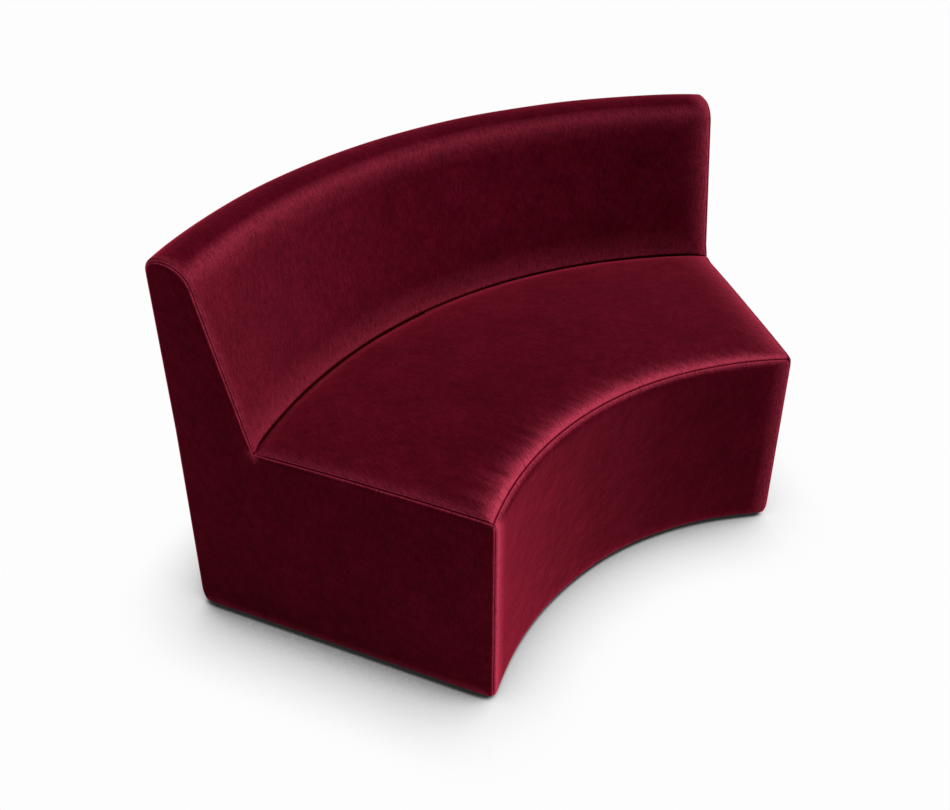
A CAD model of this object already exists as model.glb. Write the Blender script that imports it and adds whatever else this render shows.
from math import ceil, cos, dist, pi, radians, sin, sqrt, tan

import bmesh
import bpy
import numpy as np
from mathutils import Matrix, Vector, geometry, noise
from numpy.linalg import norm


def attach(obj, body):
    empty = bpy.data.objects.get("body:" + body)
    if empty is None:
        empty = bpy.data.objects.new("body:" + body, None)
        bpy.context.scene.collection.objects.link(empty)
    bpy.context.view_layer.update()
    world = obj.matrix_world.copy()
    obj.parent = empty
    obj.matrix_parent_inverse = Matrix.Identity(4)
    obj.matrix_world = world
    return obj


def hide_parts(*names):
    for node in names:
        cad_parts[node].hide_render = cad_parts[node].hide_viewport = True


# Velvet upholstery, foam and finishes for the curved sofa module.
# Lengths are in millimetres until a mesh, lamp or camera is made, and angles are in degrees.
# The pile's opening runs from 1, standing open and pale, through 0, lying as woven, down to -1, shut.
MM = 0.001

# Form shared with the solids
FRONT_RADIUS = 700.0
FRONT_HALF_ANGLE = 35.5
END_ANGLE = 28.3
AXIS_OFFSET = 171.0
CREASE_RADIUS = 1035.0
HEIGHT = 808.0
SEAT_SEAM_HEIGHT = 430.0
CREASE_HEIGHT = 438.0
SEAT_CROWN_MIDDLE = 9.0
SEAT_CROWN_ENDS = 4.0
BACK_RAKE = 13.4
BACK_TOP_DEPTH = 83.0
TOP_FRONT_ROUND = 60.0
REAR_SEAM_HEIGHT = 775.0
FOAM_BOTTOM = 350.0
CORE_TOP = 779.7
SOFT_INSET = 2.3
PADDING = 10.0
PADDING_BOTTOM = 24.0
WADDING_INSET = 11.0
FOAM_ROUND = 34.0
BACK_FOAM = 40.0
BACK_BULGE = 3.0
SEAT_FRONT_DRAW = 3.0
END_BOARD_INSET = 12.0
END_FOAM_INSET = 12.3
COVER = 2.0
LAYER_GAP = 0.3
CREASE_GAP = 0.5

# Velvet over the solids
VELVET = 1.2
PROUD = 1.0
END_PROUD = 6.0
FLARE = 9.0
FLARE_SPREAD = 70.0
HEM_BOTTOM = 10.5
BOTTOM_ROUND = 9.0
HEM_TURN = 115.0
HEM_RETURN = 10.0
TOP_REAR_ROUND = 30.0
SEAT_LIFT = 3.0
SEAT_LIFT_REACH = 200.0
BACK_FOOT_ROUND = 8.0
END_FOOT_ROUND = 1.5
BACK_TUCK = 18.0

# Seams
SEAM_ALLOWANCE = 4.0
SEAM_TURN = 135.0
LIP_GAP = 0.3
LIP_GAP_CLOSED = 1.3 * LIP_GAP
END_SEAM_INSET = 6.0
END_SEAM_DEPTH = 8.6
FRONT_SEAM_DEPTH = 10.0
FRONT_TOP_ANGLE = 42.0
SEAT_ROLL_ANGLE = 30.0
CREASE_ROLL_ANGLE = 70.0
CREASE_DEPTH = 8.0
CREASE_TUCK = 20.0
CREASE_REACH = 16.0
LIP = 3.3
LIP_TURN = 127.0
LIP_OPEN_TURN = 28.0
LIP_SHUT_TURN = 16.0
REAR_LIP = 2.2
REAR_LIP_TURN = 35.0
SEAM_REACH = 11.5
SEAT_SEAM_REACH = FRONT_SEAM_DEPTH + 2.5
CORNER_SPREAD = 13.0
CORNER_REACH = 45.0
END_BLEND = 14.0
TAPER = 0.4
TAPER_LENGTH = 30.0

# Swell of the padding, and how far from a seam it takes to rise
END_PILLOW = (2.5, 45.0)
SEAT_PILLOW = 6.0
SEAT_SWELL_ENDS = 16.0
SEAT_SWELL_FRONT = 26.0
SEAT_SWELL_CREASE = 18.0
CREASE_FULLER = 5.0
CREASE_STEEPER = 4.0
CREASE_DIP = 1.5
CREASE_DIP_REACH = 20.0

# Slow waves in the padding, as their size and height, and gathers at the front of the seat
PANEL_WAVES = (170.0, 0.9)
SEAT_WAVES = (150.0, 1.2)
WAVES_FROM_END = 60.0
WAVES_FROM_SEAM = 20.0
PUCKER_SIZE = 13.0
PUCKER_HEIGHT = 0.8
PUCKER_REACH = 24.0
PUCKERS_FROM_END = 30.0
PUCKERS_FROM_SEAM = 8.0

# Pile in the seams and on their lips
PRESSED = -0.45
GROOVE = -0.5
LIP_OPENING = 0.95
MOST_OPEN_TURN = 64.0
OPEN_SPREAD = 23.0
SHUT_TURN = 46.0
SHUT_SPREAD = 12.0
END_LIP_OPENING = 0.5
PINCH = 0.7
PINCH_SPREAD = 8.0

# Pile beside the seat's right and left end, then beside the other edges
SEAT_END_OPENING = (0.72, 0.22)
SEAT_END_REACH = (28.0, 10.0)
SEAT_FRONT_OPENING = 0.98
SEAT_FRONT_REACH = 15.0
STROKES = 0.55
STROKE_SIZE = 8.0
RIM_OPENING = 0.45
RIM_REACH = 5.0
RIM_PLACE = 3.0
CREASE_SHUT = 6.0
CREASE_SHUT_LESS = 3.0
CREASE_SHUT_SPREAD = 3.5
CREASE_SHUT_FROM_END = 10.0
FOOT_SHUT_FROM_END = 8.0
FOOT_HIDDEN_TURN = 80.0
FOOT_GLOW = 20.0
FOOT_FADE = 45.0
TOP_FADE = 25.0
TOP_OPEN_TURN = 22.0
TOP_LAY_TURN = 24.0
EDGE_FADE = 20.0
HEM_GLOW = 0.15
END_HEM_GLOW = 0.28
HEM_SHUT = -0.6

# Pile brushed open or laid flat on the faces
BRUSHED_LENGTHS = 2.2
BRUSHED_UP = 0.7
SEAT_BRUSHED = 0.035
LAID_EVENNESS = 0.3
LAID_FADE = 0.25
TOP_LAID = 0.22
TOP_LAID_UP = 0.6
TOP_LAID_SPREAD = 0.3
LAID_UNDER = 0.1

# Grids
COLUMN_COUNT = 150
SEAT_ROW_COUNT = 56
ROW_STEP = 9.0
ARC_STEP = 9.0
RAKED_STEPS = 32
ROLL_POINTS = 9
LIP_POINTS = 11
SEAM_ROWS = 8
FOOT_ROWS = 3
END_SPACING = 14.0
END_CLEARANCE = 0.6 * END_SPACING
END_SEAT_POINTS = 60
FOAM_STATIONS = 61

SIN_END = sin(radians(END_ANGLE))
COS_END = cos(radians(END_ANGLE))
TAN_RAKE = tan(radians(BACK_RAKE))
COS_RAKE = cos(radians(BACK_RAKE))
BACK_HEIGHT = HEIGHT - CREASE_HEIGHT
REAR_RADIUS = CREASE_RADIUS + BACK_HEIGHT * TAN_RAKE + BACK_TOP_DEPTH
CORNER_X = FRONT_RADIUS * sin(radians(FRONT_HALF_ANGLE))
CORNER_DEPTH = FRONT_RADIUS * cos(radians(FRONT_HALF_ANGLE))
FRONT_AXIS = -(CORNER_DEPTH + AXIS_OFFSET + REAR_RADIUS) / 2
BACK_AXIS = FRONT_AXIS + AXIS_OFFSET
CORNER_Y = FRONT_AXIS + CORNER_DEPTH
FACE_FRONT = FRONT_RADIUS - PROUD
FACE_REAR = REAR_RADIUS + PROUD
FACE_TOP = HEIGHT + PROUD
SEAT_EDGE = SEAT_SEAM_HEIGHT + SEAT_LIFT
SEAT_RISE = CREASE_HEIGHT - SEAT_SEAM_HEIGHT
PANEL_SEAM = dict(roll_angle=45, lip_radius=3.2, depth=END_SEAM_INSET, mitre=END_SEAM_DEPTH / END_SEAM_INSET)
END_SEAM = dict(roll_angle=35, lip_radius=4.6, depth=END_SEAM_DEPTH, mitre=END_SEAM_INSET / END_SEAM_DEPTH)

# Swept covers: a pillow is a height and a width, a glow the opening at the left and right end and its reach
FRONT_PANEL = dict(
    faces_from=(90, 90),
    seamed=(0, -SEAM_ROWS),
    pillow=(1.5, 30.0),
    end_glow=(1.0, 0.50, 19.0),
    laid=0.47,
)
BACK_PANEL = dict(
    faces_from=(90 - BACK_RAKE, -90),
    seamed=(FOOT_ROWS, -SEAM_ROWS),
    pillow=(4.0, 40.0),
    end_glow=(0.22, 0.75, 17.0),
    brushed=0.09,
)
REAR_PANEL = dict(
    faces_from=(-90, -90),
    seamed=(SEAM_ROWS, -1),
    pillow=(1.5, 40.0),
    end_glow=(0.16, 0.16, 8.0),
)


# Places at the right end, along the end face from its front corner and inwards from it

def end_place(along, inset):
    x = CORNER_X + along * SIN_END - inset * COS_END
    y = CORNER_Y + along * COS_END + inset * SIN_END
    return x, y


def along_end(axis, radius, inset=-END_PROUD):
    """How far along the end face, moved in by inset, an arc meets it."""
    start_x, start_y = end_place(0, inset)
    ahead = start_x * SIN_END + (start_y - axis) * COS_END
    square = start_x ** 2 + (start_y - axis) ** 2
    return -ahead + np.sqrt(ahead ** 2 - square + np.asarray(radius, float) ** 2)


def half_angle(axis, radius, inset=-END_PROUD):
    """Half the angle, in radians, that an arc spans between the two ends."""
    x, y = end_place(along_end(axis, radius, inset), inset)
    return np.arctan2(x, y - axis)


def arc_places(axis, radius, half, across):
    """Places on an arc, at shares from -1 to 1 of its half angle."""
    return np.stack([radius * np.sin(across * half), axis + radius * np.cos(across * half)], axis=-1)


def raked_radius(inset, height):
    return CREASE_RADIUS + (height - CREASE_HEIGHT) * TAN_RAKE + inset / COS_RAKE


def seam_moves(axis, radius, out):
    """How far the seam moves along and below a panel that meets the end aslant, not squarely.

    The radial part of the panel's normal is out.
    """
    slant = half_angle(axis, radius) - radians(END_ANGLE)
    corner = pi / 2 + np.arcsin(out * np.sin(slant))
    along = END_SEAM_INSET * np.cos(corner) + END_SEAM_DEPTH * (np.sin(corner) - 1)
    below = END_SEAM_INSET * (np.sin(corner) - 1) - END_SEAM_DEPTH * np.cos(corner)
    return along, below


# Lines of a panel's grid

def seam_edge(roll_angle, lip_radius, depth, mitre, turn=SEAM_TURN, allowance=SEAM_ALLOWANCE):
    """Edge of a panel that rolls over and dives into a seam of a given depth.

    Returns distances from the sharp edge, depths below the panel and how far the pile opens, from the
    sewn edge out to the flat. The lip ends on the seam's plane: at mitre 1 that plane halves a square
    corner, at mitre 0 it is upright.
    """
    roll = np.radians(np.linspace(0, roll_angle, ROLL_POINTS))
    lip = np.radians(np.linspace(roll_angle, turn, LIP_POINTS))[1:]
    lip_depth = lip_radius * (np.cos(roll[-1]) - np.cos(lip))
    roll_radius = (depth - lip_depth[-1]) / (1 - np.cos(roll[-1]))
    across = -roll_radius * np.sin(roll)
    down = roll_radius * (1 - np.cos(roll))
    across = np.append(across, across[-1] - lip_radius * (np.sin(lip) - np.sin(roll[-1])))
    down = np.append(down, down[-1] + lip_depth)
    across += mitre * down[-1] + LIP_GAP - across[-1]
    across = np.append(across, across[-1] - allowance * np.cos(lip[-1]) - LIP_GAP_CLOSED)
    down = np.append(down, down[-1] + allowance * np.sin(lip[-1]))
    opened = np.append(opened_by(lip[-1] - np.append(roll, lip)), GROOVE)
    return across[::-1], down[::-1], opened[::-1]


def opened_by(turn_left):
    """Pile stands open where a panel turns over into a seam, most on the lip, and is shut in the seam."""
    degrees = np.degrees(turn_left)
    lip = LIP_OPENING * np.exp(-((degrees - MOST_OPEN_TURN) / OPEN_SPREAD) ** 2)
    shut = unit((SHUT_TURN - degrees) / SHUT_SPREAD)
    return lip * (1 - shut) + GROOVE * shut


def lines(low, high, count):
    """Grid lines from one edge to the other, each at offset + share * length, with depth and pile."""
    inner = np.linspace(0, 1, count + 2)[1:-1]
    start = low[0][-1]
    stop = high[0][-1]
    offset = np.concatenate([low[0], start * (1 - inner) - stop * inner, -high[0][::-1]])
    share = np.concatenate([np.zeros(len(low[0])), inner, np.ones(len(high[0]))])
    depth = np.concatenate([low[1], np.zeros(count), high[1][::-1]])
    opened = np.concatenate([low[2], np.zeros(count), high[2][::-1]])
    return offset, share, depth, opened


def panel_columns():
    """Grid lines of a panel from its left end seam to its right one."""
    edge = seam_edge(**PANEL_SEAM)
    return lines(edge, edge, COLUMN_COUNT)


def line(length, low=0.0, high=0.0, steps=None):
    """Straight move of a section, with the opening of the pile at its two ends."""
    return None, length, low, high, steps or max(1, ceil(length / ROW_STEP))


def arc(radius, turn, low=0.0, high=0.0):
    """Clockwise move of a section, with the opening of the pile at its two ends."""
    return radius, turn, low, high, max(2, ceil(turn / ARC_STEP))


def section(start, heading, moves):
    """Walk a section in radius and height.

    Returns points, outward normals, which lie to the left of the walk, distances walked, the opening of
    the pile and the headings.
    """
    points = [np.array(start, float)]
    headings = [radians(heading)]
    opened = [moves[0][2]]
    for radius, size, low, high, steps in moves:
        first = points[-1]
        begin = headings[-1]
        ahead = np.array([cos(begin), sin(begin)])
        right = np.array([sin(begin), -cos(begin)])
        for share in np.linspace(0, 1, steps + 1)[1:]:
            opened.append(low + (high - low) * share)
            if radius is None:
                points.append(first + ahead * size * share)
                headings.append(begin)
                continue
            angle = radians(size) * share
            points.append(first + radius * (ahead * sin(angle) + right * (1 - cos(angle))))
            headings.append(begin - angle)
    points = np.array(points)
    headings = np.array(headings)
    normals = np.stack([-np.sin(headings), np.cos(headings)], axis=1)
    return points, normals, walked_along(points), np.array(opened), headings


def walked_along(points):
    return np.append(0, np.cumsum(norm(np.diff(points, axis=0), axis=1)))


# Softness

def unit(value):
    """Value held between 0 and 1."""
    return np.clip(value, 0, 1)


def rise(distance, width):
    """Share of the full height that is reached at a distance from an edge."""
    return 1 - np.exp(-np.maximum(distance, 0) / width)


def unevenness(along, size):
    """Slow change along a seam, about -1 to 1."""
    values = [noise.noise(Vector((place / size, 0.5, 0))) for place in np.ravel(along)]
    return np.array(values).reshape(np.shape(along))


def puckers(along, distance):
    """Faint gathers that run into a seam."""
    return PUCKER_HEIGHT * unevenness(along, PUCKER_SIZE) * np.exp(-np.maximum(distance, 0) / PUCKER_REACH)


def undulation(points, size, height):
    """Slow unevenness of padding under a taut cover."""
    flat = points.reshape(-1, 3)
    values = [noise.noise(Vector(point) / size) for point in flat]
    return height * np.array(values).reshape(points.shape[:-1])


def taper(distance):
    """Share of a seam's full roll that is left near the end of the crease, where three seams meet."""
    share = unit(distance / TAPER_LENGTH)
    return TAPER + (1 - TAPER) * share ** 2 * (3 - 2 * share)


def glow(distance, share, width):
    """Pile that stands open beside a seam and lies down away from it."""
    return share * np.exp(-np.maximum(distance, 0) / width)


def beside_seam(opened, glowing):
    """Opening of the pile that one seam gives: shut inside it, else the more open of its lip and glow."""
    return np.where(opened < 0, opened, np.maximum(opened, glowing))


def joined_pile(first, second):
    """Opening of the pile where two edges act: a shut seam wins over an open roll."""
    lowest = np.minimum(first, second)
    return np.where(lowest < 0, lowest, np.maximum(first, second))


def drawn_corners(points):
    """Draw the velvet in at the corners: the hem up and in, the front of the seat down and in."""
    front = along_end(FRONT_AXIS, FACE_FRONT)
    rear = along_end(BACK_AXIS, FACE_REAR)
    corners = [
        (front, 1, HEM_BOTTOM, 1.0, 3.0),
        (rear, -1, HEM_BOTTOM, 2.0, 5.0),
        (front, 1, SEAT_EDGE, -3.0, 3.0),
    ]
    moved = points.copy()
    for along, inward, height, lift, draw in corners:
        x, y = end_place(along, -END_PROUD)
        ahead = np.array([inward * SIN_END - COS_END, inward * COS_END + SIN_END]) / sqrt(2)
        distance = np.hypot(np.abs(points[..., 0]) - x, points[..., 1] - y)
        share = np.exp(-(distance / CORNER_SPREAD) ** 2 - ((points[..., 2] - height) / CORNER_SPREAD) ** 2)
        moved[..., 0] += draw * share * ahead[0] * np.sign(points[..., 0])
        moved[..., 1] += draw * share * ahead[1]
        moved[..., 2] += lift * share
    return moved


def flared(points):
    """Let the padding of the back stand a little fuller at the ends, most at the top."""
    level = unit((points[..., 2] - CREASE_HEIGHT) / BACK_HEIGHT)
    inset = (points[..., 1] - CORNER_Y) * SIN_END - (np.abs(points[..., 0]) - CORNER_X) * COS_END
    out = FLARE * level * np.exp(-(inset / FLARE_SPREAD) ** 2)
    moved = points.copy()
    moved[..., 0] += out * COS_END * np.sign(points[..., 0])
    moved[..., 1] -= out * SIN_END
    return moved


# Meshes

def place_object(name, data):
    piece = bpy.data.objects.new(name, data)
    bpy.context.scene.collection.objects.link(piece)
    return piece


def make_object(name, points, faces, uv=None, pile=None):
    """Smooth mesh, with the place of its points along the nap and the opening of its pile."""
    mesh = bpy.data.meshes.new(name)
    mesh.from_pydata((np.reshape(points, (-1, 3)) * MM).tolist(), [], [list(face) for face in faces])
    if uv is not None:
        layer = mesh.uv_layers.new(name="nap")
        index = np.empty(len(mesh.loops), dtype=np.int32)
        mesh.loops.foreach_get("vertex_index", index)
        layer.data.foreach_set("uv", (np.reshape(uv, (-1, 2))[index] * MM).ravel())
    if pile is not None:
        values = np.ravel(pile)
        mesh.attributes.new("pile", "FLOAT", "POINT").data.foreach_set("value", values)
    mesh.validate()
    mesh.polygons.foreach_set("use_smooth", [True] * len(mesh.polygons))
    if pile is not None:
        pressed = [max(values[vertex] for vertex in face.vertices) < PRESSED for face in mesh.polygons]
        mesh.polygons.foreach_set("material_index", np.array(pressed, dtype=np.int32))
    mesh.update()
    return place_object(name, mesh)


def grid_faces(rows, columns):
    index = np.arange(rows * columns).reshape(rows, columns)
    corners = [index[:-1, :-1], index[:-1, 1:], index[1:, 1:], index[1:, :-1]]
    return np.stack(corners, axis=-1).reshape(-1, 4)


def ring_faces(rings, count):
    """Faces between closed rings of equal numbers of points."""
    faces = []
    for base in range(0, (rings - 1) * count, count):
        for number in range(count):
            after = (number + 1) % count
            faces.append((base + number, base + after, base + count + after, base + count + number))
    return faces


def swept_panel(name, axis, path, faces_from, seamed, pillow, end_glow, brushed=0.0, laid=0.0, ends=None):
    """Cover that follows a section round an arc, with a rolled seam at each end.

    The section's faces lie between two headings, and its rolled edges beyond them. The padding swells
    between two seamed rows. Ends is the section that the cover changes to at its ends.
    """
    section_points, section_normals, walked, _, headings = path
    face_headings = np.clip(headings, radians(faces_from[1]), radians(faces_from[0]))
    face_normals = np.stack([-np.sin(face_headings), np.cos(face_headings)], axis=1)
    swell_height, swell_width = pillow
    offset, share, depth, column_opened = panel_columns()
    radius = section_points[:, 0:1]
    half = half_angle(axis, radius)
    length = 2 * half * radius
    move_along, move_below = seam_moves(axis, radius, face_normals[:, 0:1])
    seam_share = depth / END_SEAM_INSET
    fullness = np.ones_like(radius) if ends is None else taper(section_points[:, 1:2] - CREASE_HEIGHT)
    along = share * length + fullness * offset
    along = along + fullness * move_along * (seam_share * (1 - 2 * share))
    depth = fullness * (depth + move_below * seam_share)
    from_end = np.minimum(along, length - along) - SEAM_REACH
    angle = along / radius - half
    sine = np.sin(angle)
    cosine = np.cos(angle)
    height = np.broadcast_to(section_points[:, 1:2], angle.shape)
    points = np.stack([radius * sine, axis + radius * cosine, height], axis=-1)
    if ends is not None:
        change = ends[0] - section_points
        nearness = np.exp(-np.maximum(from_end, 0) / END_BLEND)
        outward = np.stack([sine, cosine], axis=-1)
        points[..., :2] += outward * (change[:, 0:1] * nearness)[..., None]
        points[..., 2] += change[:, 1:2] * nearness
    normals = turned(section_normals, sine, cosine)
    from_low = walked - walked[seamed[0]]
    from_high = walked[seamed[1]] - walked
    between = rise(from_low, swell_width) * rise(from_high, swell_width)
    swell = swell_height * rise(from_end, swell_width) * between[:, None]
    waves = undulation(points, *PANEL_WAVES) * rise(from_end, WAVES_FROM_END)
    swell = swell + waves * rise(from_high, WAVES_FROM_SEAM)[:, None]
    sunk = turned(face_normals, sine, cosine) * depth[..., None]
    points = flared(drawn_corners(points + normals * swell[..., None] - sunk))
    uv = np.stack([along - length / 2, np.broadcast_to(walked[:, None], along.shape)], axis=-1)
    left, right, width = end_glow
    open_end = beside_seam(column_opened, glow(from_end, np.where(2 * along < length, left, right), width))
    pile = panel_pile(path, along / length, from_end, open_end, brushed, laid, ends is not None)
    return make_object(name, points, grid_faces(*angle.shape)[:, ::-1], uv, pile)


def panel_pile(path, reached, from_end, open_end, brushed, laid, ends_change):
    """Opening of a swept panel's pile, where a share of the panel's length is reached from the left.

    Brushed pile stands open at the left end and lies down towards the middle. Laid pile is flattened
    between the ends, most left of the middle, and so is the pile on top of the back.
    """
    opened = path[3][:, None]
    up = path[1][:, 1:2]
    brushing = np.where((opened < 0) | (up > BRUSHED_UP), 0, brushed)
    opened = opened + brushing * unit(1 - BRUSHED_LENGTHS * reached)
    if ends_change:
        opened = np.where(opened < 0, opened * rise(from_end + SEAM_REACH, FOOT_SHUT_FROM_END), opened)
    pile = joined_pile(opened, open_end)
    reached = unit(reached)
    flattest = laid * np.sin(pi * reached) ** LAID_EVENNESS * (1 - LAID_FADE * reached)
    flattest = flattest + TOP_LAID * unit((up - TOP_LAID_UP) / TOP_LAID_SPREAD)
    return np.where(pile < 0, pile, pile - flattest * np.exp(-pile / LAID_UNDER))


def turned(flat_normals, sine, cosine):
    """Normals of a section in radius and height, turned round the axis."""
    out = flat_normals[:, 0:1]
    up = np.broadcast_to(flat_normals[:, 1:2], sine.shape)
    return np.stack([out * sine, out * cosine, up], axis=-1)


# Velvet covers

def rolled_edge(depth, angle):
    """Moves that roll a section over and down into a square seam of a given depth, and their rise."""
    bend = radians(angle)
    last = radians(LIP_TURN)
    lip_depth = LIP * (cos(bend) - cos(last))
    radius = (depth - LIP_GAP - lip_depth) / (1 - cos(bend))
    moves = [
        arc(radius, angle * 0.6, 0.0, 0.16),
        arc(radius, angle * 0.4, 0.16, 0.52),
        arc(LIP, LIP_OPEN_TURN, 0.60, 0.88),
        arc(LIP, LIP_SHUT_TURN, 0.4, GROOVE),
        arc(LIP, LIP_TURN - angle - LIP_OPEN_TURN - LIP_SHUT_TURN, GROOVE, GROOVE),
        line(SEAM_ALLOWANCE, GROOVE, GROOVE),
    ]
    rise_to_seam = radius * sin(bend) + LIP * (sin(last) - sin(bend))
    return moves, rise_to_seam


def front_section():
    """From the hem, round the bottom and up to the seam along the front of the seat."""
    edge, rise_to_seam = rolled_edge(FRONT_SEAM_DEPTH, FRONT_TOP_ANGLE)
    hem = [line(HEM_RETURN, -1.0, -1.0), arc(BOTTOM_ROUND, HEM_TURN, HEM_SHUT, HEM_GLOW)]
    ending = section((0, 0), 90 + HEM_TURN, hem)[0][-1]
    start = (FACE_FRONT - ending[0], HEM_BOTTOM + BOTTOM_ROUND - ending[1])
    upright = SEAT_EDGE - FRONT_SEAM_DEPTH - HEM_BOTTOM - BOTTOM_ROUND - rise_to_seam
    face = [line(EDGE_FADE, HEM_GLOW, 0), line(upright - EDGE_FADE)]
    return section(start, 90 + HEM_TURN, [*hem, *face, *edge])


def back_section(foot_round=BACK_FOOT_ROUND):
    """From the tuck behind the seat, round the rolled foot of the back, over the top to the rear seam."""
    turn = 90 - BACK_RAKE
    foot_turn = 90 + BACK_RAKE
    foot_height = foot_round * (1 + sin(radians(BACK_RAKE)))
    foot_back = foot_round * COS_RAKE
    trimmed = TOP_FRONT_ROUND * tan(radians(turn / 2))
    raked = (FACE_TOP - CREASE_HEIGHT - foot_height) / COS_RAKE - trimmed
    flat = FACE_REAR - raked_radius(-PROUD, FACE_TOP) - trimmed - TOP_REAR_ROUND
    down = FACE_TOP - TOP_REAR_ROUND - REAR_SEAM_HEIGHT
    foot = raked_radius(-PROUD, CREASE_HEIGHT + foot_height)
    moves = [
        line(BACK_TUCK, -1.0, -1.0),
        arc(foot_round, FOOT_HIDDEN_TURN, -1.0, -1.0),
        arc(foot_round, foot_turn - FOOT_HIDDEN_TURN, -0.5, 0.30),
        line(FOOT_GLOW, 0.30, 0.15),
        line(FOOT_FADE, 0.15, 0.0),
        line(raked - FOOT_GLOW - FOOT_FADE - TOP_FADE, steps=RAKED_STEPS),
        line(TOP_FADE, 0.0, 0.08),
        arc(TOP_FRONT_ROUND, TOP_OPEN_TURN, 0.08, 0.26),
        arc(TOP_FRONT_ROUND, TOP_LAY_TURN, 0.26, 0.06),
        arc(TOP_FRONT_ROUND, turn - TOP_OPEN_TURN - TOP_LAY_TURN, 0.06, 0.0),
        line(flat),
        arc(TOP_REAR_ROUND, 45, 0.0, 0.03),
        arc(TOP_REAR_ROUND, 45, 0.03, 0.0),
        line(down - REAR_LIP, 0.0, 0.3),
        arc(REAR_LIP, REAR_LIP_TURN, 0.3, 0.8),
        arc(REAR_LIP, 90 - REAR_LIP_TURN, -0.4, GROOVE),
        line(SEAM_ALLOWANCE, GROOVE, GROOVE),
    ]
    return section((foot + foot_back + BACK_TUCK, CREASE_HEIGHT), 180, moves)


def rear_section():
    """From the rear seam down the outside of the back to the hem."""
    upright = REAR_SEAM_HEIGHT - REAR_LIP - HEM_BOTTOM - BOTTOM_ROUND
    moves = [
        line(SEAM_ALLOWANCE, GROOVE, GROOVE),
        arc(REAR_LIP, 90 - REAR_LIP_TURN, GROOVE, -0.4),
        arc(REAR_LIP, REAR_LIP_TURN, 0.8, 0.3),
        line(EDGE_FADE, 0.3, 0.0),
        line(upright - 2 * EDGE_FADE),
        line(EDGE_FADE, 0.0, HEM_GLOW),
        arc(BOTTOM_ROUND, HEM_TURN, HEM_GLOW, HEM_SHUT),
        line(HEM_RETURN, -1.0, -1.0),
    ]
    return section((FACE_REAR - REAR_LIP - SEAM_ALLOWANCE, REAR_SEAM_HEIGHT), 0, moves)


def seat_cover():
    """Crowned seat panel that rolls over to the front seam and dives into the crease behind.

    Towards the right it stands fuller at the crease.
    """
    front_edge = seam_edge(SEAT_ROLL_ANGLE, LIP, FRONT_SEAM_DEPTH, 1)
    tuck = seam_edge(CREASE_ROLL_ANGLE, LIP, CREASE_DEPTH, 0, 90, CREASE_TUCK)
    crease_edge = tuck[0] - CREASE_REACH, tuck[1], np.full(len(tuck[0]), -1.0)
    rows = [values[:, None] for values in lines(front_edge, crease_edge, SEAT_ROW_COUNT)]
    columns = panel_columns()
    crease = raked_radius(-PROUD, CREASE_HEIGHT)
    front_half = half_angle(FRONT_AXIS, FACE_FRONT)
    rear_half = half_angle(BACK_AXIS, crease)
    depth_guess = crease + AXIS_OFFSET - FACE_FRONT
    place = np.maximum((rows[0] + rows[1] * depth_guess) / depth_guess, 0)
    length = 2 * (front_half * FACE_FRONT * (1 - place) + rear_half * crease * place)
    fullness = taper((1 - place) * depth_guess)
    along = fullness * columns[0] + columns[1] * length
    across = 2 * along / length - 1
    front = arc_places(FRONT_AXIS, FACE_FRONT, front_half, across)
    rear = arc_places(BACK_AXIS, crease, rear_half, across)
    run = norm(rear - front, axis=-1)
    ahead = (rear - front) / run[..., None]
    reach = rows[0] + rows[1] * run
    share = unit(reach / run)
    crown = seat_crown(across)
    height = seat_height(reach, share, crown)
    slope = (SEAT_RISE + 4 * crown * (1 - 2 * share)) / run
    points = np.concatenate([front + ahead * reach[..., None], height[..., None]], axis=-1)
    normals = np.concatenate([-ahead * slope[..., None], np.ones_like(slope)[..., None]], axis=-1)
    normals /= norm(normals, axis=-1, keepdims=True)
    from_end = np.minimum(along, length - along) - SEAM_REACH
    from_front = reach - SEAT_SEAM_REACH
    from_crease = run - reach
    fuller = np.clip(0.6 + 1.2 * across, 0.25, 1)
    swell = SEAT_PILLOW * rise(from_end, SEAT_SWELL_ENDS) * rise(from_front, SEAT_SWELL_FRONT)
    swell = swell * rise(from_crease + CREASE_FULLER * fuller, SEAT_SWELL_CREASE - CREASE_STEEPER * fuller)
    swell = swell - CREASE_DIP * unit(1 - from_crease / CREASE_DIP_REACH)
    swell = swell + undulation(points, *SEAT_WAVES) * rise(from_end, WAVES_FROM_END)
    gathered = rise(from_end, PUCKERS_FROM_END) * rise(from_front, PUCKERS_FROM_SEAM)
    swell = swell + puckers(along, reach) * gathered
    sunk = (rows[2] ** 4 + (fullness * columns[2]) ** 4) ** 0.25
    points = drawn_corners(points + normals * (swell - sunk)[..., None])
    uv = np.stack([along - length / 2, reach], axis=-1)
    front_reach = SEAT_FRONT_REACH * (1 + STROKES * unevenness(along, STROKE_SIZE))
    front_reach = front_reach * (1 - 0.4 * unit(across + 0.2))
    rim = glow(from_crease - RIM_PLACE, RIM_OPENING * unit(across + 0.3), RIM_REACH)
    glowing = np.maximum(glow(from_front, SEAT_FRONT_OPENING, front_reach), rim)
    brushed = np.where(rows[3] < 0, 0, SEAT_BRUSHED * unit(across))
    shut = unit((CREASE_SHUT - CREASE_SHUT_LESS * fuller - from_crease) / CREASE_SHUT_SPREAD)
    shut = shut * rise(from_end, CREASE_SHUT_FROM_END)
    end_opening = np.where(across > 0, *SEAT_END_OPENING)
    end_reach = np.where(across > 0, *SEAT_END_REACH)
    open_end = beside_seam(columns[3], glow(from_end, end_opening, end_reach))
    pile = joined_pile(beside_seam(rows[3], glowing) + brushed - shut, open_end)
    return make_object("seat_velvet", points, grid_faces(*along.shape), uv, pile)


def seat_crown(across):
    """Height of the seat's crown, fullest in the middle."""
    return SEAT_CROWN_ENDS + (SEAT_CROWN_MIDDLE - SEAT_CROWN_ENDS) * (1 - across ** 2)


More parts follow.
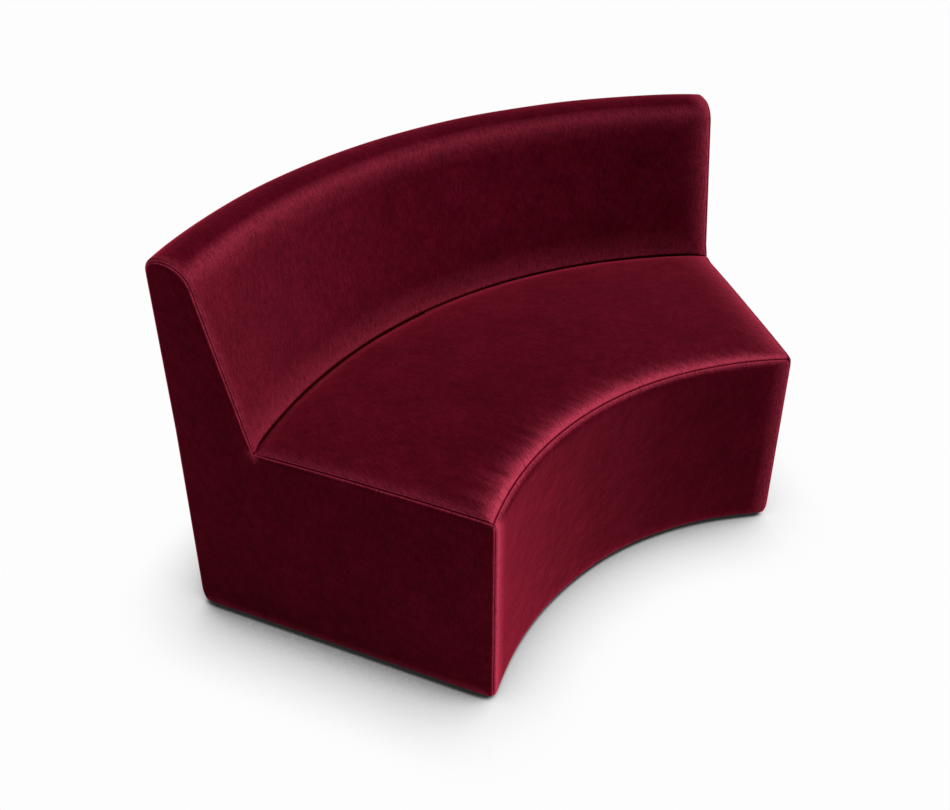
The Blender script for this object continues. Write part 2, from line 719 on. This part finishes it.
def seat_height(reach, share, crown):
    """Height of the seat's face, raised a little over its front edge."""
    level = SEAT_SEAM_HEIGHT + PROUD + SEAT_RISE * share
    level = level + 4 * crown * share * (1 - share)
    return level + (SEAT_LIFT - PROUD) * unit(1 - reach / SEAT_LIFT_REACH)


# End covers

def corner_shift(own, other, turn):
    """How far an offset edge moves along itself to meet its neighbour's offset edge at a corner."""
    angle = radians(turn)
    return (other - own * cos(angle)) / sin(angle)


def end_outline():
    """Four edges of the end face, counter-clockwise, each with the turn that follows it and its fullness."""
    points, normals = back_section()[:2]
    raked = (normals[:, 0] < -0.5) & (points[:, 1] > CREASE_HEIGHT + 3 * BACK_FOOT_ROUND)
    over = (normals[:, 0] >= -0.5) & (normals[:, 1] > -1e-6)
    foot = straight((raked_radius(-PROUD, CREASE_HEIGHT), CREASE_HEIGHT), points[raked][0])[:-1]
    profile = np.concatenate([foot, points[raked], points[over]])
    profile[:, 0] = along_end(BACK_AXIS, profile[:, 0])
    near = along_end(FRONT_AXIS, FACE_FRONT)
    far = profile[-1, 0]
    crease = profile[0, 0]
    bottom = straight((near, HEM_BOTTOM), (far, HEM_BOTTOM))
    upright = straight((far, HEM_BOTTOM), profile[-1])[:-1]
    back = np.concatenate([upright, profile[::-1]])
    share = np.linspace(0, 1, END_SEAT_POINTS)
    reach = (crease - near) * share
    seat = np.stack([near + reach, seat_height(reach, share, SEAT_CROWN_ENDS)], axis=1)[::-1]
    seat[0, 1] = CREASE_HEIGHT
    front = straight((near, SEAT_EDGE), (near, HEM_BOTTOM))
    return [
        (bottom, 90.0, np.ones(len(bottom))),
        (back, BACK_RAKE - 90, np.where(back[:, 0] < far - 1, taper(back[:, 1] - CREASE_HEIGHT), 1.0)),
        (seat, 90.0, taper(crease - seat[:, 0])),
        (front, 90.0, np.ones(len(front))),
    ]


def straight(first, last):
    count = max(2, ceil(dist(first, last) / ROW_STEP))
    return np.linspace(first, last, count + 1)


def inward_normals(points):
    ahead = np.gradient(points, axis=0)
    ahead /= norm(ahead, axis=1, keepdims=True)
    return np.stack([-ahead[:, 1], ahead[:, 0]], axis=1), ahead


def end_rings(profiles, outline):
    """Rings of points inside the outline, one for each step of the edges, with depth and pile."""
    rings = []
    for step in range(len(profiles[0][0])):
        ring = []
        for number, (points, turn, fullness) in enumerate(outline):
            following = (number + 1) % len(outline)
            own = profiles[number][0][step] * fullness
            before = profiles[number - 1][0][step] * outline[number - 1][2][-1]
            after = profiles[following][0][step] * outline[following][2][0]
            inward, ahead = inward_normals(points)
            walked = walked_along(points)
            first = corner_shift(own[0], before, outline[number - 1][1])
            first = first * unit(1 - walked / CORNER_REACH)
            last = corner_shift(own[-1], after, turn)
            last = last * unit(1 - (walked[-1] - walked) / CORNER_REACH)
            moved = points + inward * own[:, None] + ahead * (first - last)[:, None]
            depth = profiles[number][1][step] * fullness
            depth[0] = max(depth[0], profiles[number - 1][1][step])
            opened = np.full(len(points), profiles[number][2][step])
            ring.append(np.column_stack([moved, depth, opened])[:-1])
        rings.append(np.concatenate(ring))
    return rings


def inside_points(ring):
    """Points of a plain grid that lie well inside a ring."""
    low = ring.min(axis=0)
    high = ring.max(axis=0)
    across = np.arange(low[0], high[0], END_SPACING)
    upward = np.arange(low[1], high[1], END_SPACING)
    grid = np.stack(np.meshgrid(across, upward), axis=-1).reshape(-1, 2)
    following = np.roll(ring, -1, axis=0)
    inside = np.zeros(len(grid), bool)
    nearest = np.full(len(grid), np.inf)
    for first, second in zip(ring, following):
        crosses = (first[1] > grid[:, 1]) != (second[1] > grid[:, 1])
        slope = (second[0] - first[0]) / (second[1] - first[1] + 1e-12)
        inside ^= crosses & (grid[:, 0] < first[0] + slope * (grid[:, 1] - first[1]))
        edge = second - first
        share = unit(((grid - first) @ edge) / (edge @ edge))
        nearest = np.minimum(nearest, norm(grid - first - share[:, None] * edge, axis=1))
    keep = inside & (nearest > END_CLEARANCE)
    return grid[keep], nearest[keep]


def end_hem(steps):
    """Edge of an end panel that is turned under at the bottom, in as many steps as its seams have."""
    bend = np.radians(np.linspace(0, HEM_TURN, steps - 1))
    across = BOTTOM_ROUND * (1 - np.sin(bend))
    down = BOTTOM_ROUND * (1 - np.cos(bend))
    across = np.append(across, across[-1] - HEM_RETURN * np.cos(bend[-1]))
    down = np.append(down, down[-1] + HEM_RETURN * np.sin(bend[-1]))
    opened = np.append(END_HEM_GLOW + (HEM_SHUT - END_HEM_GLOW) * bend / bend[-1], -1.0)
    return across[::-1], down[::-1], opened[::-1]


def end_cover(name, side):
    """Flat end panel, rolled into its seams all round and turned under at the bottom."""
    across, down, opened = seam_edge(**END_SEAM)
    seam = across, down, np.where(opened > 0, END_LIP_OPENING * opened, opened)
    steps = len(across)
    outline = end_outline()
    rings = end_rings([end_hem(steps), seam, seam, seam], outline)
    count = len(rings[0])
    flat = rings[-1][:, :2]
    inner, nearest = inside_points(flat)
    places = np.concatenate([np.concatenate(rings), np.column_stack([inner, np.zeros((len(inner), 2))])])
    base = (steps - 1) * count
    corners = [Vector(place) for place in np.concatenate([flat, inner])]
    edges = [(number, (number + 1) % count) for number in range(count)]
    _, _, filled, original, _, _ = geometry.delaunay_2d_cdt(corners, edges, [], 1, 1e-6)
    faces = ring_faces(steps, count)
    faces += [tuple(base + original[corner][0] for corner in face) for face in filled]
    swell_height, swell_width = END_PILLOW
    swell = swell_height * rise(np.append(np.zeros(base + count), nearest), swell_width)
    lift = END_PROUD + swell - places[:, 2]
    x, y = end_place(places[:, 0], -lift)
    points = flared(drawn_corners(np.column_stack([side * x, y, places[:, 1]])))
    if side < 0:
        faces = [face[::-1] for face in faces]
    seat_edge = outline[2][0]
    pile = places[:, 3]
    for corner in (seat_edge[0], seat_edge[-1]):
        away = norm(places[:, :2] - corner, axis=1)
        pile = beside_seam(pile, PINCH * np.exp(-(away / PINCH_SPREAD) ** 2))
    return make_object(name, points, faces, places[:, :2], pile)


# Foam under the velvet

def lofted_block(name, sections, rounding=2.0):
    """Closed block through sections of equal numbers of points, with a flat face at each end."""
    sections = np.asarray(sections)
    count, corners = sections.shape[:2]
    faces = ring_faces(count, corners)
    faces += [tuple(range(corners))[::-1], tuple(range((count - 1) * corners, count * corners))]
    block = make_object(name, sections, faces)
    mesh = bmesh.new()
    mesh.from_mesh(block.data)
    bmesh.ops.recalc_face_normals(mesh, faces=mesh.faces)
    mesh.to_mesh(block.data)
    mesh.free()
    edge = block.modifiers.new("cut edge", "BEVEL")
    edge.width = rounding * MM
    edge.segments = 2
    edge.limit_method = "ANGLE"
    edge.angle_limit = radians(50)
    return block


def swept_block(name, axis, corners, end_inset):
    """Foam of one section, swept round an arc between the ends."""
    corners = np.asarray(corners, float)
    half = half_angle(axis, corners[:, 0], end_inset)
    sections = []
    for across in np.linspace(-1, 1, FOAM_STATIONS):
        sections.append(np.column_stack([arc_places(axis, corners[:, 0], half, across), corners[:, 1]]))
    return lofted_block(name, sections)


def wadding(name, axis, near, top):
    """Thin foam over a curved board."""
    far = near + PADDING
    corners = [(near, PADDING_BOTTOM), (far, PADDING_BOTTOM), (far, top), (near, top)]
    return swept_block(name, axis, corners, END_BOARD_INSET)


def back_foam():
    """Raked slab of foam with a bulged face, carried over the top of the frame."""
    points, normals = back_section()[:2]
    points = points - normals * (SOFT_INSET + PROUD)
    above_foot = points[:, 1] > CREASE_HEIGHT + 2 * BACK_FOOT_ROUND
    outside = points[above_foot & ((points[:, 1] > CORE_TOP + 1) | (normals[:, 0] < -0.5))]
    bulge = np.sin(pi * unit((outside[:, 1] - CREASE_HEIGHT) / BACK_HEIGHT))
    outside[:, 0] -= BACK_BULGE * bulge * (outside[:, 1] < HEIGHT - TOP_FRONT_ROUND)
    depth = SOFT_INSET + BACK_FOAM
    start = [(CREASE_RADIUS + SOFT_INSET, FOAM_BOTTOM)]
    inside = [
        (REAR_RADIUS - SOFT_INSET, CORE_TOP),
        (raked_radius(depth, CORE_TOP), CORE_TOP),
        (raked_radius(depth, FOAM_BOTTOM), FOAM_BOTTOM),
    ]
    return swept_block("back_foam_slab", BACK_AXIS, [*start, *outside, *inside], END_FOAM_INSET)


def seat_foam():
    """Crowned block with a front drawn in between its top and bottom edges."""
    front_radius = FRONT_RADIUS + SOFT_INSET
    rear_radius = CREASE_RADIUS - CREASE_GAP
    front_half = half_angle(FRONT_AXIS, front_radius, END_FOAM_INSET)
    rear_half = half_angle(BACK_AXIS, rear_radius, END_FOAM_INSET)
    top = SEAT_SEAM_HEIGHT - SOFT_INSET
    shoulder = top - FOAM_ROUND
    over = np.linspace(0, 1, 25)[1:]
    waist = np.linspace(0, 1, 9)[1:-1]
    rounding = np.radians(np.linspace(0, 90, 7))
    sections = []
    for across in np.linspace(-1, 1, FOAM_STATIONS):
        front = arc_places(FRONT_AXIS, front_radius, front_half, across)
        rear = arc_places(BACK_AXIS, rear_radius, rear_half, across)
        run = rear - front
        height = top + SEAT_RISE * over + 4 * seat_crown(across) * over * (1 - over)
        upper = np.column_stack([front + over[:, None] * run, height])
        lower = np.array([[*rear, FOAM_BOTTOM], [*front, FOAM_BOTTOM]])
        drawn = 4 * SEAT_FRONT_DRAW * waist * (1 - waist) / norm(run)
        face = np.column_stack([front + drawn[:, None] * run, FOAM_BOTTOM + (shoulder - FOAM_BOTTOM) * waist])
        back = FOAM_ROUND * (1 - np.cos(rounding)) / norm(run)
        edge = np.column_stack([front + back[:, None] * run, shoulder + FOAM_ROUND * np.sin(rounding)])
        sections.append(np.concatenate([edge, upper, lower, face]))
    return lofted_block("seat_foam_block", sections, 3.0)


def end_padding(name, side):
    """Thin foam on the end board, cut to the end's outline."""
    edge = np.array([WADDING_INSET])
    flat = np.array([0.0])
    ring = end_rings([(edge, flat, flat)] * 4, end_outline())[0][:, :2]
    sections = []
    for depth in (COVER + LAYER_GAP, COVER + PADDING):
        x, y = end_place(ring[:, 0], depth)
        sections.append(np.column_stack([side * x, y, ring[:, 1]]))
    return lofted_block(name, sections)


# Materials

def new_material(name):
    """New material with its tree, its shader and the place on the object."""
    material = bpy.data.materials.new(name)
    material.use_nodes = True
    tree = material.node_tree
    return material, tree, tree.nodes["Principled BSDF"], add(tree, "TexCoord")["Object"]


def feed(tree, node, values):
    """Set inputs of a node, or link those that take another node's output."""
    for name, value in values.items():
        if isinstance(value, bpy.types.NodeSocket):
            tree.links.new(value, node.inputs[name])
        else:
            node.inputs[name].default_value = value


def add(tree, kind, values=None, **settings):
    """New shader node with its settings and inputs. Returns its outputs."""
    node = tree.nodes.new("ShaderNode" + kind)
    for name, value in settings.items():
        setattr(node, name, value)
    feed(tree, node, values or {})
    return node.outputs


def mapped_noise(tree, source, scale, detail, roughness=0.55):
    scaled = add(tree, "Mapping", {"Vector": source, "Scale": scale})["Vector"]
    values = {"Vector": scaled, "Scale": 1.0, "Detail": detail, "Roughness": roughness}
    return add(tree, "TexNoise", values)["Fac"]


def blended(tree, first, second, share):
    return add(tree, "Mix", {0: share, 2: first, 3: second}, data_type="FLOAT")[0]


def mapped_range(tree, value, low, high, first=0.0, last=1.0):
    values = {"Value": value, "From Min": low, "From Max": high, "To Min": first, "To Max": last}
    return add(tree, "MapRange", values)["Result"]


def mixed_colour(tree, share, first, second):
    return add(tree, "Mix", {0: share, 6: first, 7: (*second, 1)}, data_type="RGBA")[2]


def ramp(tree, value, stops):
    colours = tree.nodes.new("ShaderNodeValToRGB")
    elements = colours.color_ramp.elements
    while len(elements) < len(stops):
        elements.new(0.5)
    for element, (place, colour) in zip(elements, stops):
        element.position = place
        element.color = (*colour, 1)
    feed(tree, colours, {"Fac": value})
    return colours.outputs["Color"]


def bump(tree, height, strength, distance, below=None):
    values = {"Height": height, "Strength": strength, "Distance": distance}
    if below is not None:
        values["Normal"] = below
    return add(tree, "Bump", values)["Normal"]


def velvet_material():
    """Burgundy pile: mottled as it lies, pale where it stands open and dark where it is flattened."""
    material, tree, shader, body = new_material("burgundy_velvet")
    nap = add(tree, "UVMap", uv_map="nap")["UV"]
    clouds = mapped_noise(tree, body, (10, 10, 10), 4.0, 0.6)
    mottle = mapped_noise(tree, body, (48, 48, 48), 3.0, 0.6)
    streaks = mapped_noise(tree, nap, (230, 48, 1), 3.0, 0.6)
    grain = mapped_noise(tree, body, (290, 290, 290), 3.0, 0.7)
    lying = blended(tree, clouds, mottle, 0.45)
    brushed = blended(tree, streaks, grain, 0.55)
    pile = blended(tree, lying, brushed, 0.6)
    flat = ramp(tree, pile, [
        (0.38, (0.036, 0.0006, 0.0038)),
        (0.50, (0.068, 0.0016, 0.0074)),
        (0.62, (0.114, 0.0040, 0.0145)),
    ])
    opening = add(tree, "Attribute", attribute_name="pile")["Fac"]
    hairs = mapped_range(tree, brushed, 0.33, 0.67, 0.3, 1.7)
    uneven = add(tree, "Math", {0: opening, 1: hairs}, operation="MULTIPLY")[0]
    opened = mixed_colour(tree, mapped_range(tree, uneven, 0, 1), flat, (0.50, 0.046, 0.090))
    shut_share = mapped_range(tree, opening, 0, -1)
    lay = bump(tree, clouds, 0.35, 0.012)
    lay = bump(tree, mottle, 0.25, 0.003, lay)
    lay = bump(tree, streaks, 0.25, 0.0007, lay)
    feed(tree, shader, {
        "Base Color": mixed_colour(tree, shut_share, opened, (0.004, 0.0002, 0.0006)),
        "Normal": bump(tree, grain, 0.3, 0.0006, lay),
        "Roughness": 0.8,
        "Specular IOR Level": 0.0,
        "Sheen Weight": 1.0,
        "Sheen Roughness": 0.42,
        "Sheen Tint": (0.80, 0.05, 0.11, 1),
    })
    return material


def pressed_material():
    """Pile pressed shut inside a seam or the crease, where no light brushes over it."""
    material, tree, shader, body = new_material("pressed_velvet")
    grain = mapped_noise(tree, body, (330, 330, 330), 2.0, 0.7)
    groove = ramp(tree, grain, [(0.3, (0.16, 0.005, 0.018)), (0.7, (0.26, 0.010, 0.032))])
    opening = add(tree, "Attribute", attribute_name="pile")["Fac"]
    crease_share = mapped_range(tree, opening, GROOVE, -1)
    feed(tree, shader, {
        "Base Color": mixed_colour(tree, crease_share, groove, (0.030, 0.0009, 0.0036)),
        "Normal": bump(tree, grain, 0.3, 0.0006),
        "Roughness": 0.9,
        "Specular IOR Level": 0.0,
    })
    return material


def plain_material(name, dark, light, scale, roughness, metallic=0.0, relief=0.0002):
    """Finish with a colour that varies between two tones, and a fine relief."""
    material, tree, shader, body = new_material(name)
    tone = mapped_noise(tree, body, (scale, scale, scale), 5.0)
    feed(tree, shader, {
        "Base Color": ramp(tree, tone, [(0.3, dark), (0.7, light)]),
        "Normal": bump(tree, tone, 0.4, relief),
        "Roughness": roughness,
        "Metallic": metallic,
    })
    return material


def wave(tree, source, direction, scale, distortion):
    values = {"Vector": source, "Scale": scale, "Distortion": distortion, "Detail": 3.0}
    return add(tree, "TexWave", values, bands_direction=direction)["Fac"]


def wood_material(name, early, late, direction, rings):
    """Wood with growth rings, fine pores along the grain and a dry, sanded surface."""
    material, tree, shader, body = new_material(name)
    stretched = {"X": (700, 700, 12), "Z": (12, 700, 700)}[direction]
    growth = wave(tree, body, direction, rings, 4.0)
    pores = mapped_noise(tree, body, stretched, 3.0)
    grain = blended(tree, growth, pores, 0.45)
    feed(tree, shader, {
        "Base Color": ramp(tree, grain, [(0.25, early), (0.75, late)]),
        "Normal": bump(tree, pores, 0.3, 0.0002),
        "Roughness": 0.62,
    })
    return material


def woven_material(name, dark, light, threads):
    """Narrow weave of crossing threads."""
    material, tree, shader, body = new_material(name)
    warp = wave(tree, body, "X", threads, 0.4)
    weft = wave(tree, body, "Y", threads, 0.4)
    weave = blended(tree, warp, weft, 0.5)
    feed(tree, shader, {
        "Base Color": ramp(tree, weave, [(0.3, dark), (0.7, light)]),
        "Normal": bump(tree, weave, 0.5, 0.0004),
        "Roughness": 0.88,
    })
    return material


# Stage

CAMERA_PLACE = (-1260.2, FRONT_AXIS - 422.4, 1591.6)
CAMERA_AZIMUTH = -39.1
CAMERA_ELEVATION = 28.1
PICTURE_WIDTH = 950
FOCAL_PIXELS = 1019.5
PICTURE_MIDDLE = 405
AXIS_PIXEL = 280
WORLD_LIGHT = 0.22
FLOOR = 40000.0
SHADOW_REACH = 200.0
SHADOW_TILT = (0.20, -0.125, 0.972)
SHADOW_TONES = [
    (0.0, 0.010),
    (0.41, 0.025),
    (0.485, 0.30),
    (0.53, 0.45),
    (0.62, 0.645),
    (0.79, 0.85),
    (0.955, 0.982),
]


def make_camera():
    data = bpy.data.cameras.new("camera")
    data.sensor_width = 36.0
    data.lens = FOCAL_PIXELS * data.sensor_width / PICTURE_WIDTH
    data.shift_y = (AXIS_PIXEL - PICTURE_MIDDLE) / PICTURE_WIDTH
    camera = place_object("camera", data)
    camera.location = Vector(CAMERA_PLACE) * MM
    camera.rotation_euler = (radians(90 - CAMERA_ELEVATION), 0, radians(CAMERA_AZIMUTH))
    bpy.context.scene.camera = camera


def camera_white(tree):
    """1 for rays that show the background directly, in a mirror or through glass, and 0 for light."""
    path = add(tree, "LightPath")
    total = path["Is Camera Ray"]
    for name in ("Is Glossy Ray", "Is Transmission Ray"):
        total = add(tree, "Math", {0: total, 1: path[name]}, operation="MAXIMUM")[0]
    return total


def make_world():
    """White background that lights the object at a plain level."""
    world = bpy.data.worlds.new("studio")
    world.use_nodes = True
    tree = world.node_tree
    strength = mapped_range(tree, camera_white(tree), 0, 1, WORLD_LIGHT, 1.0)
    feed(tree, tree.nodes["Background"], {"Strength": strength, "Color": (1, 1, 1, 1)})
    bpy.context.scene.world = world


def make_floor():
    """White floor that shows the soft shadow close to the object."""
    material, tree, shader, body = new_material("pale_floor")
    tone = mapped_noise(tree, body, (3, 3, 3), 3.0)
    colour = ramp(tree, tone, [(0.3, (0.90, 0.90, 0.90)), (0.7, (0.91, 0.91, 0.91))])
    feed(tree, shader, {"Base Color": colour, "Roughness": 0.9, "Specular IOR Level": 0.0})
    tilt = add(tree, "CombineXYZ", dict(zip("XYZ", SHADOW_TILT)))["Vector"]
    near = add(tree, "AmbientOcclusion", {"Distance": SHADOW_REACH * MM, "Normal": tilt}, samples=16)["AO"]
    shades = ramp(tree, near, [(place, (level, level, level)) for place, level in SHADOW_TONES])
    shown = add(tree, "Emission", {"Color": shades})["Emission"]
    mix = add(tree, "MixShader", {"Fac": camera_white(tree), 1: shader.outputs["BSDF"], 2: shown})
    feed(tree, tree.nodes["Material Output"], {"Surface": mix["Shader"]})
    corners = [(-FLOOR, -FLOOR, 0), (FLOOR, -FLOOR, 0), (FLOOR, FLOOR, 0), (-FLOOR, FLOOR, 0)]
    floor = make_object("floor", corners, [(0, 1, 2, 3)])
    floor.data.materials.append(material)


def make_sun(name, azimuth, elevation, strength, spread):
    data = bpy.data.lights.new(name, "SUN")
    data.energy = strength
    data.angle = radians(spread)
    lamp = place_object(name, data)
    lamp.rotation_euler = (radians(90 - elevation), 0, radians(azimuth))


# Build

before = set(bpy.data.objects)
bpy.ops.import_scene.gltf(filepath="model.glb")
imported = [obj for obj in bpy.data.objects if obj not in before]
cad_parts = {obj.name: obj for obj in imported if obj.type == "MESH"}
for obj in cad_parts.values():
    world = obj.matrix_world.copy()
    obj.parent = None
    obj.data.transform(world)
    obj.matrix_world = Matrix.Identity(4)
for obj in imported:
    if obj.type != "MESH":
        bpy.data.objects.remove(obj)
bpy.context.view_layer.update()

velvet = velvet_material()
pressed_velvet = pressed_material()
foam = plain_material("cream_foam", (0.52, 0.46, 0.33), (0.70, 0.64, 0.50), 420, 0.95, relief=0.0008)
BACK_PANEL["ends"] = back_section(END_FOOT_ROUND)
COVERS = {
    "seat_cover": seat_cover(),
    "front_cover": swept_panel("front_velvet", FRONT_AXIS, front_section(), **FRONT_PANEL),
    "inside_back_cover": swept_panel("inside_back_velvet", BACK_AXIS, back_section(), **BACK_PANEL),
    "outside_back_cover": swept_panel("outside_back_velvet", BACK_AXIS, rear_section(), **REAR_PANEL),
    "right_end_cover": end_cover("right_end_velvet", 1),
    "left_end_cover": end_cover("left_end_velvet", -1),
}
FOAMS = {
    "seat_foam": seat_foam(),
    "back_foam": back_foam(),
    "front_padding": wadding("front_wadding", FRONT_AXIS, FRONT_RADIUS + SOFT_INSET, FOAM_BOTTOM),
    "rear_padding": wadding("rear_wadding", BACK_AXIS, REAR_RADIUS - SOFT_INSET - PADDING, CORE_TOP),
    "right_end_padding": end_padding("right_end_wadding", 1),
    "left_end_padding": end_padding("left_end_wadding", -1),
}
for cover in COVERS.values():
    shell = cover.modifiers.new("thickness", "SOLIDIFY")
    shell.thickness = VELVET * MM
    shell.offset = -1
    shell.use_rim = True
    cover.data.materials.append(velvet)
    cover.data.materials.append(pressed_velvet)
for block in FOAMS.values():
    block.data.materials.append(foam)
for node, piece in {**COVERS, **FOAMS}.items():
    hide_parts(node)
    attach(piece, "sofa")

FINISHES = {
    "plywood": wood_material("birch_plywood", (0.44, 0.30, 0.17), (0.58, 0.43, 0.27), "Z", 9.0),
    "timber": wood_material("pine", (0.60, 0.42, 0.23), (0.42, 0.25, 0.11), "X", 14.0),
    "plinth_black": plain_material("black_paint", (0.010, 0.010, 0.010), (0.018, 0.018, 0.018), 60, 0.5),
    "webbing": woven_material("elastic_webbing", (0.02, 0.02, 0.022), (0.08, 0.08, 0.085), 160.0),
    "dust_cloth": plain_material("spun_cloth", (0.012, 0.012, 0.012), (0.03, 0.03, 0.03), 500, 0.95),
    "steel": plain_material("zinc_plate", (0.50, 0.51, 0.53), (0.66, 0.67, 0.68), 150, 0.32, 1.0),
    "nylon": plain_material("moulded_nylon", (0.012, 0.012, 0.013), (0.022, 0.022, 0.023), 200, 0.45),
}
# The first finish with a word that is in a node's name is taken
NODE_FINISHES = {
    "steel": ("screws", "nuts", "linking_plate", "bolts", "inserts", "glide_stem"),
    "plinth_black": ("plinth",),
    "plywood": ("board", "panel", "rib"),
    "timber": ("rail", "posts"),
    "webbing": ("webbing",),
    "dust_cloth": ("dust_cover",),
    "nylon": ("glide_pad",),
}
for name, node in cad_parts.items():
    if name in COVERS or name in FOAMS:
        continue
    finish = next(key for key, words in NODE_FINISHES.items() if any(word in name for word in words))
    node.data.materials.clear()
    node.data.materials.append(FINISHES[finish])

make_camera()
make_world()
make_floor()
make_sun("key", azimuth=58, elevation=39, strength=2.5, spread=40)
bpy.context.scene.view_settings.view_transform = "Standard"
